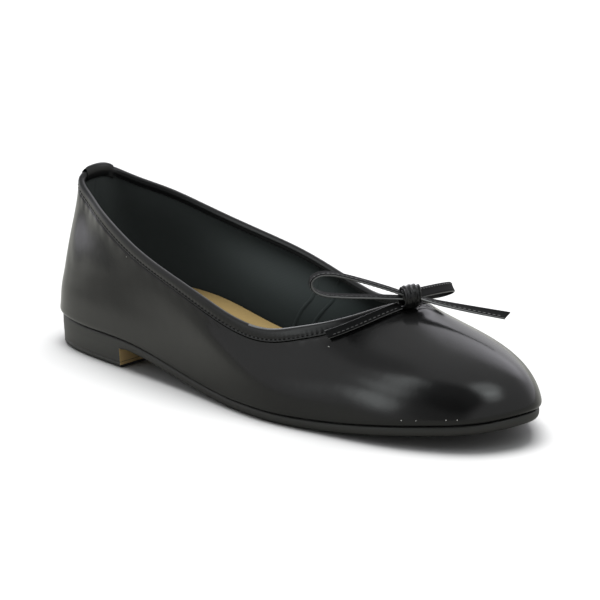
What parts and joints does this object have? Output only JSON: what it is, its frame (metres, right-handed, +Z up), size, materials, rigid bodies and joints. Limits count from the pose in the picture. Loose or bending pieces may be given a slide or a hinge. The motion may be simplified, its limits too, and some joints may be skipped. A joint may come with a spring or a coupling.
{
  "type": "ballet flat shoe",
  "caption": "Right ballet flat: low-cut lasted upper with rounded toe, folded topline binding, back tab, narrow lace bow, thin sole and low block heel.",
  "frame": {"origin": "centre of the shoe's bounding box at the height of the floor, under the middle of its length", "axes": "+X along the shoe to the toe, +Y to the inner (medial) side, +Z up from the floor"},
  "size_m": [0.2445, 0.0801, 0.0695],
  "materials": {
    "black_leather": "smooth, half gloss",
    "edge_leather": "smooth, half gloss",
    "lace_leather": "folded and stitched lace, half gloss",
    "tan_sock": "matt",
    "black_rubber": "matt",
    "tan_heel": "stacked, satin"
  },
  "bodies": {
    "root": {"upper": "black_leather", "topline_binding": "edge_leather", "back_tab": "black_leather", "insole": "tan_sock", "outsole": "black_rubber", "heel": "tan_heel", "top_lift": "black_rubber", "bow_knot": "lace_leather", "bow_loop_outer": "lace_leather", "bow_loop_inner": "lace_leather", "bow_tail_outer": "lace_leather", "bow_tail_inner": "lace_leather"}
  },
  "joints": []
}
